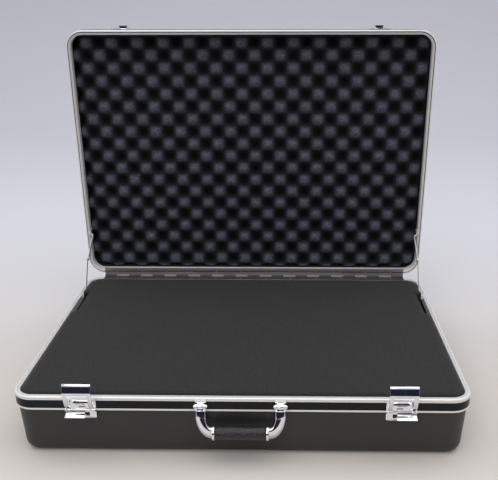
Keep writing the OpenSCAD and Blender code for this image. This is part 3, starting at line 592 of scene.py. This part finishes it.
# %% Grip sleeve
def grip_sleeve():
    length = grip_high.x - grip_low.x
    rings, sides = 150, 120
    bore = 4.1 * MM
    work = bmesh.new()
    loops = []
    for k in range(rings + 1):
        u = k / rings
        x = grip_low.x + length * u
        end = min(u, 1 - u) * length
        roll = 1.2 * MM * max(0.0, 1 - end / (2.5 * MM)) ** 2
        loop = []
        for s in range(sides):
            a = 2 * math.pi * s / sides
            spot = Vector((x, math.cos(a) * grip_r, math.sin(a) * grip_r))
            grain = noise.cell_vector(spot / (1.7 * MM)).x
            fine = noise.noise(spot / (1.0 * MM))
            r = grip_r - roll - (0.3 + 0.16 * grain - 0.14 * fine) * MM
            loop.append(work.verts.new((x, grip_at.y + r * math.cos(a), grip_at.z + r * math.sin(a))))
        loops.append(loop)
    for x, order in ((grip_high.x, loops), (grip_low.x, loops)):
        loop = [work.verts.new((x, grip_at.y + bore * math.cos(2 * math.pi * s / sides),
                                grip_at.z + bore * math.sin(2 * math.pi * s / sides)))
                for s in range(sides)]
        loops.append(loop)
    order = loops[-1:] + loops[:-2] + [loops[-2], loops[-1]]
    for a, b in zip(order, order[1:]):
        for i in range(sides):
            j = (i + 1) % sides
            work.faces.new((a[i], a[j], b[j], b[i]))
    bmesh.ops.recalc_face_normals(work, faces=work.faces)
    mesh = bpy.data.meshes.new("handle_grip_sleeve")
    work.to_mesh(mesh)
    work.free()
    made = new_object("handle_grip_sleeve", mesh, vinyl)
    return smooth(made, 60)


grip = grip_sleeve()
hand_over(grip, "handle", ["handle_grip"])
print("grip", round((grip_high.x - grip_low.x) / MM, 1), "mm long")

# %% [markdown]
# The foam in the base is one block, cut flat and a little soft at its edges. It could be a bevelled
# box, but cut foam is never quite flat, so the solid is remeshed into small even faces and each
# point is moved by a slow noise, less than a millimetre, with a finer tremble for the saw's marks.

# %% Base foam
def remeshed(node, name, material, voxel):
    mesh = frame["nodes"][node].data.copy()
    work = bmesh.new()
    work.from_mesh(mesh)
    bmesh.ops.remove_doubles(work, verts=work.verts, dist=0.002 * MM)
    work.to_mesh(mesh)
    work.free()
    made = new_object(name, mesh, material)
    even = made.modifiers.new("Even faces", "REMESH")
    even.mode = "VOXEL"
    even.voxel_size = voxel
    relax = made.modifiers.new("Soft edges", "SMOOTH")
    relax.factor = 0.5
    relax.iterations = 4
    return settle(made)


def tremble(made, slow, slow_size, fine, fine_size):
    """Moves each point along its normal, inwards only, by two sizes of noise."""
    count = len(made.data.vertices)
    places, normals = np.empty(3 * count, "f"), np.empty(3 * count, "f")
    made.data.vertices.foreach_get("co", places)
    made.data.vertices.foreach_get("normal", normals)
    places, normals = places.reshape(-1, 3), normals.reshape(-1, 3)
    depth = [slow * (0.5 + 0.5 * noise.noise(Vector(p) / slow_size))
             + fine * (0.5 + 0.5 * noise.noise(Vector(p) / fine_size)) for p in places]
    moved = places - normals * np.array(depth, "f")[:, None]
    made.data.vertices.foreach_set("co", moved.ravel())
    made.data.update()


base_foam = remeshed("base_foam", "base_foam_block", base_foam_skin, 4 * MM)
tremble(base_foam, 0.6 * MM, 60 * MM, 0.25 * MM, 5 * MM)
base_foam.data.shade_smooth()
hand_over(base_foam, "base", ["base_foam"])
print("base foam", len(base_foam.data.polygons), "faces")

# %% [markdown]
# Convoluted foam is made by squeezing a flat block between rollers with pegs and slicing it there.
# When it springs back, one face has rounded peaks and hollows in a chequer of two inches. A grid
# whose depth is the product of two cosines gives that shape, and its edge is cut square.

# %% Lid foam
foam_side = 9.0 * MM
foam_pitch = 25.3 * MM
peak_in = 15 * MM
foam_relief = 20 * MM
peak_x = -19 * MM
peak_y = hinge_at.y - 437 * MM
corner_r = 33 * MM - foam_side
half_w = case_w / 2 - foam_side
half_d = case_d / 2 - foam_side
lid_rim_z = base_h + rim_gap
foam_step = 3.0 * MM
foam_back = 62.7 * MM
side_back = 48 * MM
back_in = 14 * MM


def rounded(x, y, inset=0.0):
    """Draws a point beyond a rounded corner of the foam back onto it."""
    w, d, r = half_w - inset, half_d - inset, corner_r
    dx, dy = abs(x) - (w - r), abs(y) - (d - r)
    far = math.hypot(dx, dy)
    if dx > 0 and dy > 0 and far > r:
        return math.copysign(w - r + dx * r / far, x), math.copysign(d - r + dy * r / far, y)
    return x, y


def convolution(x, y):
    """Depth of the face behind the rim."""
    wave = math.cos(math.pi * (x - peak_x) / foam_pitch) * math.cos(math.pi * (y - peak_y) / foam_pitch)
    # Peaks are a little sharper than hollows, as sprung foam is
    swell = math.copysign(abs(wave) ** 0.9, wave)
    return peak_in + foam_relief / 2 * (1 - swell)


def lid_foam_sheet():
    columns = round(2 * half_w / foam_step)
    rows = round(2 * half_d / foam_step)
    work = bmesh.new()
    grid = []
    for j in range(rows + 1):
        line = []
        for i in range(columns + 1):
            x, y = rounded(-half_w + 2 * half_w * i / columns, -half_d + 2 * half_d * j / rows)
            spot = Vector((x, y, 0))
            depth = convolution(x, y)
            depth += (0.5 + 0.5 * noise.noise(spot / (7 * MM))) * 0.7 * MM
            depth += (0.5 + 0.5 * noise.noise(spot / (45 * MM))) * 1.0 * MM
            line.append(work.verts.new((x, y, lid_rim_z + depth)))
        grid.append(line)
    for j in range(rows):
        for i in range(columns):
            work.faces.new((grid[j][i], grid[j + 1][i], grid[j + 1][i + 1], grid[j][i + 1]))
    edge = grid[0][:] + [line[-1] for line in grid[1:]]
    edge += grid[-1][-2::-1] + [line[0] for line in grid[-2:0:-1]]
    loops = [edge]
    for depth, inset in ((side_back, 0.0), (foam_back, back_in)):
        shrink_x, shrink_y = 1 - inset / half_w, 1 - inset / half_d
        loops.append([work.verts.new((v.co.x * shrink_x, v.co.y * shrink_y, lid_rim_z + depth))
                      for v in edge])
    for a, b in zip(loops, loops[1:]):
        for i in range(len(edge)):
            j = (i + 1) % len(edge)
            work.faces.new((a[i], a[j], b[j], b[i]))
    work.faces.new(loops[-1])
    bmesh.ops.recalc_face_normals(work, faces=work.faces)
    work.transform(opened)
    mesh = bpy.data.meshes.new("lid_foam_convoluted")
    work.to_mesh(mesh)
    work.free()
    # Depth in the relief, 0 at the peaks and 1 in the hollows, which the finish turns into painted shade
    hollow = mesh.attributes.new("hollow", "FLOAT", "POINT")
    closed = opened.inverted()
    hollow.data.foreach_set("value", [((closed @ v.co).z - lid_rim_z - peak_in) / foam_relief
                                      for v in mesh.vertices])
    made = new_object("lid_foam_convoluted", mesh, lid_foam_skin)
    return smooth(made, 60)


lid_foam = lid_foam_sheet()
hand_over(lid_foam, "lid", ["lid_foam"])
print("lid foam", len(lid_foam.data.polygons), "faces")

# %% [markdown]
# Beside the tongue the lid's rim has a dark line all round, the shade in its groove. It is painted
# as a thin black strip: a closed loop of rings, drawn on the shut lid 0.15 mm proud of the rim and
# turned open with it.

# %% Painted shade beside the tongue
# A black strip with a faint mottle, put where the rim's groove lies in shade
def groove_shade_black():
    material, tree, shader = new_material("Black strip, painted shade of the rim's groove", {"Roughness": 0.8, "Specular IOR Level": 0.2})
    place = add(tree, "ShaderNodeTexCoord")
    shade_mottle = add(tree, "ShaderNodeTexNoise", None, {"Vector": (place, "Object"), "Scale": 1 / (15 * MM)})
    tone = ramp(tree, (shade_mottle, "Fac"), [(0.3, colour("0C0C0E")), (0.7, colour("161618"))])
    tree.links.new(tone.outputs["Color"], shader.inputs["Base Color"])
    return material


def rounded_loop(work, inset, z, corner=33 * MM, steps=14):
    w, d, r = case_w / 2 - inset, case_d / 2 - inset, corner - inset
    loop = []
    for sx, sy, first in ((1, 1, 0), (-1, 1, 90), (-1, -1, 180), (1, -1, 270)):
        for k in range(steps + 1):
            a = math.radians(first + 90 * k / steps)
            loop.append(work.verts.new((sx * (w - r) + r * math.cos(a), sy * (d - r) + r * math.sin(a), z)))
    return loop


def groove_shade_strip():
    closed = opened.inverted()
    shut = [closed @ v.co for v in frame["nodes"]["lid_valance"].data.vertices]
    tongue = case_w / 2 - max(p.x for p in shut if p.z < lid_rim_z - 1 * MM)
    outer, inner = tongue - 1.7 * MM, tongue - 0.1 * MM
    low, high = lid_rim_z - 0.15 * MM, lid_rim_z + 0.4 * MM
    work = bmesh.new()
    section = ((outer, high), (outer, low), (inner, low), (inner, high))
    loops = [rounded_loop(work, inset, z) for inset, z in section]
    for a, b in zip(loops, loops[1:] + loops[:1]):
        for k in range(len(a)):
            j = (k + 1) % len(a)
            work.faces.new((a[k], a[j], b[j], b[k]))
    bmesh.ops.recalc_face_normals(work, faces=work.faces)
    work.transform(opened)
    mesh = bpy.data.meshes.new("lid_groove_shade_strip")
    work.to_mesh(mesh)
    work.free()
    print("tongue", round(tongue / MM, 2), "mm in from the rim's edge")
    made = new_object("lid_groove_shade_strip", mesh, groove_shade_black())
    hand_over(made, "lid", None)
    return made


groove_shade_strip()

# %% [markdown]
# Rivets repeat, so one Geometry Nodes tree sets them. It takes a cloud of points, each at the foot of
# a rivet, and puts the same turned rivet on every one. The tree's inputs are the sizes of a rivet.

# %% Geometry Nodes tree for rivets
def rivet_tree():
    tree = bpy.data.node_groups.new("Set rivets", "GeometryNodeTree")
    face = tree.interface
    face.new_socket("Points", in_out="INPUT", socket_type="NodeSocketGeometry")
    for name in ("Shank radius", "Shank length", "Head radius", "Head height"):
        face.new_socket(name, in_out="INPUT", socket_type="NodeSocketFloat")
    face.new_socket("Direction", in_out="INPUT", socket_type="NodeSocketVector")
    face.new_socket("Finish", in_out="INPUT", socket_type="NodeSocketMaterial")
    face.new_socket("Rivets", in_out="OUTPUT", socket_type="NodeSocketGeometry")
    start = add(tree, "NodeGroupInput")
    end = add(tree, "NodeGroupOutput")
    shank = add(tree, "GeometryNodeMeshCylinder", None,
                {"Vertices": 24, "Radius": (start, "Shank radius"), "Depth": (start, "Shank length")})
    half = add(tree, "ShaderNodeMath", {"operation": "MULTIPLY"}, {0: (start, "Shank length"), 1: -0.5})
    down = add(tree, "ShaderNodeCombineXYZ", None, {"Z": (half, "Value")})
    shank_in = add(tree, "GeometryNodeTransform", None,
                   {"Geometry": (shank, "Mesh"), "Translation": (down, "Vector")})
    ball = add(tree, "GeometryNodeMeshUVSphere", None, {"Segments": 24, "Rings": 12, "Radius": 1.0})
    flat = add(tree, "ShaderNodeCombineXYZ", None,
               {"X": (start, "Head radius"), "Y": (start, "Head radius"), "Z": (start, "Head height")})
    head = add(tree, "GeometryNodeTransform", None, {"Geometry": (ball, "Mesh"), "Scale": (flat, "Vector")})
    rivet = add(tree, "GeometryNodeJoinGeometry")
    for part in (shank_in, head):
        tree.links.new(part.outputs["Geometry"], rivet.inputs["Geometry"])
    turn = add(tree, "FunctionNodeAlignRotationToVector", {"axis": "Z"}, {"Vector": (start, "Direction")})
    placed = add(tree, "GeometryNodeInstanceOnPoints", None,
                 {"Points": (start, "Points"), "Instance": (rivet, "Geometry"),
                  "Rotation": (turn, "Rotation")})
    real = add(tree, "GeometryNodeRealizeInstances", None, {"Geometry": (placed, "Instances")})
    shaded = add(tree, "GeometryNodeSetShadeSmooth", None, {"Geometry": (real, "Geometry")})
    coated = add(tree, "GeometryNodeSetMaterial", None,
                 {"Geometry": (shaded, "Geometry"), "Material": (start, "Finish")})
    tree.links.new(coated.outputs["Geometry"], end.inputs["Rivets"])
    return tree


def solids_of(node):
    """The (lowest, highest) corners of each separate solid in a node."""
    work = bmesh.new()
    work.from_mesh(frame["nodes"][node].data)
    bmesh.ops.remove_doubles(work, verts=work.verts, dist=0.002 * MM)
    left = set(work.verts)
    found = []
    while left:
        stack = [left.pop()]
        group = []
        while stack:
            point = stack.pop()
            group.append(point.co.copy())
            for edge in point.link_edges:
                other = edge.other_vert(point)
                if other in left:
                    left.remove(other)
                    stack.append(other)
        found.append((Vector([min(p[k] for p in group) for k in range(3)]),
                      Vector([max(p[k] for p in group) for k in range(3)])))
    work.free()
    return found


set_rivets = rivet_tree()


def riveted(node, name, material, direction, sizes):
    """Rivets where a node has them: direction is that of their heads, sizes are in metres."""
    direction = Vector(direction).normalized()
    spots = []
    for low, high in solids_of(node):
        centre = (low + high) / 2
        span = high - low
        reach = sum(abs(direction[k]) * span[k] for k in range(3)) / 2
        spots.append(centre + direction * (reach - sizes["Head height"]))
    mesh = bpy.data.meshes.new(name)
    mesh.from_pydata([tuple(p) for p in spots], [], [])
    made = new_object(name, mesh, material)
    tree = made.modifiers.new("Rivets", "NODES")
    tree.node_group = set_rivets
    keys = {item.name: item.identifier for item in set_rivets.interface.items_tree
            if item.item_type == "SOCKET" and item.in_out == "INPUT"}
    for key, value in sizes.items():
        tree[keys[key]] = value
    tree[keys["Direction"]] = tuple(direction)
    tree[keys["Finish"]] = material
    settle(made)
    hand_over(made, frame["nodes"][node]["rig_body"], [node])
    print(name, len(spots), "rivets")


# %% Set the rivets
lid_up = opened.to_3x3() @ Vector((0, 0, -1))
lid_front = opened.to_3x3() @ Vector((0, -1, 0))


def rivet_sizes(shank_r, shank, head_r, head):
    """Sizes of a rivet in mm, under the names of the tree's inputs."""
    return {"Shank radius": shank_r * MM, "Shank length": shank * MM,
            "Head radius": head_r * MM, "Head height": head * MM}


leaf_sizes = rivet_sizes(1.6, 2.3, 2.5, 0.3)
plate_sizes = rivet_sizes(1.2, 1.3, 1.9, 0.5)
keeper_sizes = rivet_sizes(1.6, 1.3, 2.6, 0.8)
riveted("base_hinge_rivets", "base_hinge_rivet_heads", rivet_steel, (0, 0, 1), leaf_sizes)
riveted("lid_hinge_rivets", "lid_hinge_rivet_heads", rivet_steel, lid_up, leaf_sizes)
riveted("latch_rivets", "latch_rivet_heads", chrome, (0, -1, 0), plate_sizes)
riveted("keeper_rivets", "keeper_rivet_heads", chrome, lid_front, keeper_sizes)

# %% [markdown]
# The room: a pale sheet that lies under the case and curves up behind it, as a studio sweep does, so
# no edge shows. It could be a floor and a wall, but their corner would draw a line across the photo.

# %% Sweep
def sweep_material():
    material, tree, shader = new_material("Painted studio sweep", {
        "Roughness": 0.75, "Specular IOR Level": 0.2})
    place = add(tree, "ShaderNodeTexCoord")
    axes = add(tree, "ShaderNodeSeparateXYZ", None, {"Vector": (place, "Object")})
    back = add(tree, "ShaderNodeMapRange", None,
               {"Value": (axes, "Y"), "From Min": 0.0, "From Max": 1.0})
    tone = ramp(tree, (back, "Result"), [
        (0.0, colour("D8D2CA")), (0.4, colour("DCDADA")), (1.0, colour("E0E0E6"))])
    tree.links.new(tone.outputs["Color"], shader.inputs["Base Color"])
    return material


def sweep_piece():
    half, front, foot, radius, top = 4.5, -1.0, 2.4, 1.4, 3.5
    profile = [(front, 0.0), (foot, 0.0)]
    for k in range(1, 25):
        a = math.pi / 2 * k / 24
        profile.append((foot + radius * math.sin(a), radius * (1 - math.cos(a))))
    profile.append((foot + radius, top))
    points = [(x, y, z) for y, z in profile for x in (-half, half)]
    faces = [(2 * k, 2 * k + 1, 2 * k + 3, 2 * k + 2) for k in range(len(profile) - 1)]
    mesh = bpy.data.meshes.new("studio_sweep")
    mesh.from_pydata(points, [], faces)
    made = smooth(new_object("studio_sweep", mesh, sweep_material()), 40)
    return made


sweep_piece()

# %% [markdown]
# Light: one large soft lamp over the case, a small one over the camera, and a pale room all round. The
# side of the room that the camera stands in is dark, which is what gives the chrome its navy.

# %% Lamps and room
def lamp(name, place, aim, size, power):
    data = bpy.data.lights.new(name, "AREA")
    data.shape = "RECTANGLE"
    data.size, data.size_y = size
    data.energy = power
    made = bpy.data.objects.new(name, data)
    made.location = place
    made.rotation_euler = (Vector(aim) - Vector(place)).to_track_quat("-Z", "Y").to_euler()
    collection.objects.link(made)
    return made


lamp("Ceiling lamp", (0.1, -0.3, 2.9), (0.1, 0.1, 0.1), (4.2, 3.4), 40)
lamp("Front lamp", (-0.7, -2.5, 1.9), (0, 0.1, 0.3), (1.6, 1.2), 13)


def room():
    world = bpy.data.worlds.new("Pale room, dark behind the camera")
    bpy.context.scene.world = world
    world.use_nodes = True
    tree = world.node_tree
    tree.nodes.clear()
    place = add(tree, "ShaderNodeTexCoord")
    axes = add(tree, "ShaderNodeSeparateXYZ", None, {"Vector": (place, "Generated")})
    # 0 looks towards the front of the room, 1 towards the wall behind the case
    depth = add(tree, "ShaderNodeMapRange", None, {"Value": (axes, "Y"), "From Min": -0.75, "From Max": -0.1})
    height = add(tree, "ShaderNodeMapRange", None, {"Value": (axes, "Z"), "From Min": 0.3, "From Max": 0.62})
    most = add(tree, "ShaderNodeMath", {"operation": "MAXIMUM"},
               {0: (depth, "Result"), 1: (height, "Result")})
    tone = ramp(tree, (most, "Value"), [(0.0, colour("1E2233")), (1.0, colour("E4E4EA"))])
    glow = add(tree, "ShaderNodeBackground", None, {"Color": (tone, "Color"), "Strength": 1.02})
    add(tree, "ShaderNodeOutputWorld", None, {"Surface": (glow, "Background")})


room()
bpy.context.scene.view_settings.view_transform = "Standard"

# %% [markdown]
# The camera stands where the photographer stood: in front, a little to the right, about 68 cm over
# the table, turned down by 20 degrees. Its place was fitted to the edges of both rims.

# %% Camera
def photographer():
    yaw, pitch, roll = (math.radians(v) for v in (-1.119, 20.352, -0.134))
    forward = Vector((math.sin(yaw) * math.cos(pitch), math.cos(yaw) * math.cos(pitch), -math.sin(pitch)))
    level = Vector((math.cos(yaw), -math.sin(yaw), 0))
    upright = level.cross(forward)
    right = math.cos(roll) * level + math.sin(roll) * upright
    up = -math.sin(roll) * level + math.cos(roll) * upright
    data = bpy.data.cameras.new("Photographer")
    data.sensor_fit = "HORIZONTAL"
    data.sensor_width = 36
    data.lens = 53.1
    # The fit is best with the optical centre 20 px right of and 24 px below the middle
    data.shift_x, data.shift_y = -0.0414, 0.0489
    made = bpy.data.objects.new("Photographer", data)
    turn = Matrix((right, up, -forward)).transposed().to_4x4()
    made.matrix_world = Matrix.Translation((0.0638, -1.2275, 0.6844)) @ turn
    collection.objects.link(made)
    bpy.context.scene.camera = made


photographer()
